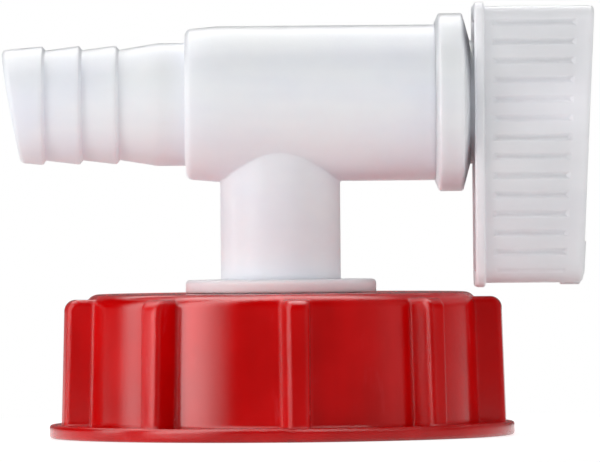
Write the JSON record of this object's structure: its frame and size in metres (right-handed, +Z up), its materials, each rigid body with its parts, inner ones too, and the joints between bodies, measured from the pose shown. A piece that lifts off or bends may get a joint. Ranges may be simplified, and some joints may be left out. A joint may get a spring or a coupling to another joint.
{
  "type": "drain cock",
  "caption": "Quarter-turn drain cock on a ribbed screw cap, with a barbed hose spout and a grooved lever knob.",
  "frame": {"origin": "on the screw cap's axis, in the plane of its lower rim, at the mouth of its neck thread", "axes": "+Z up the stem from the cap, +X along the barrel towards the lever knob, the hose spout towards -X"},
  "size_m": [0.0986, 0.0776, 0.0719],
  "materials": {
    "red_polyethylene": "moulded red, soft gloss",
    "natural_polyethylene": "natural translucent white, satin",
    "knob_polyethylene": "natural translucent white, thinner and greyer, satin",
    "seal_rubber": "matt black elastomer"
  },
  "bodies": {
    "cap": {"screw_cap": "red_polyethylene"},
    "tap": {"tap_body": "natural_polyethylene", "sealing_disc": "natural_polyethylene", "neck_gasket": "seal_rubber", "lock_nut": "natural_polyethylene", "spigot_oring": "seal_rubber", "retaining_collar": "natural_polyethylene"},
    "plug": {"plug": "natural_polyethylene", "plug_oring_inner": "seal_rubber", "plug_oring_outer": "seal_rubber", "lever_knob": "knob_polyethylene"}
  },
  "joints": [
    {"name": "tap_swivel", "type": "hinge", "parent": "cap", "child": "tap", "pos_m": [0, 0, 0.0226], "axis": [0, 0, 1], "continuous": true},
    {"name": "knob_turn", "type": "hinge", "parent": "tap", "child": "plug", "pos_m": [0.03, 0, 0.0555], "axis": [1, 0, 0], "range_deg": [0, 90]}
  ]
}
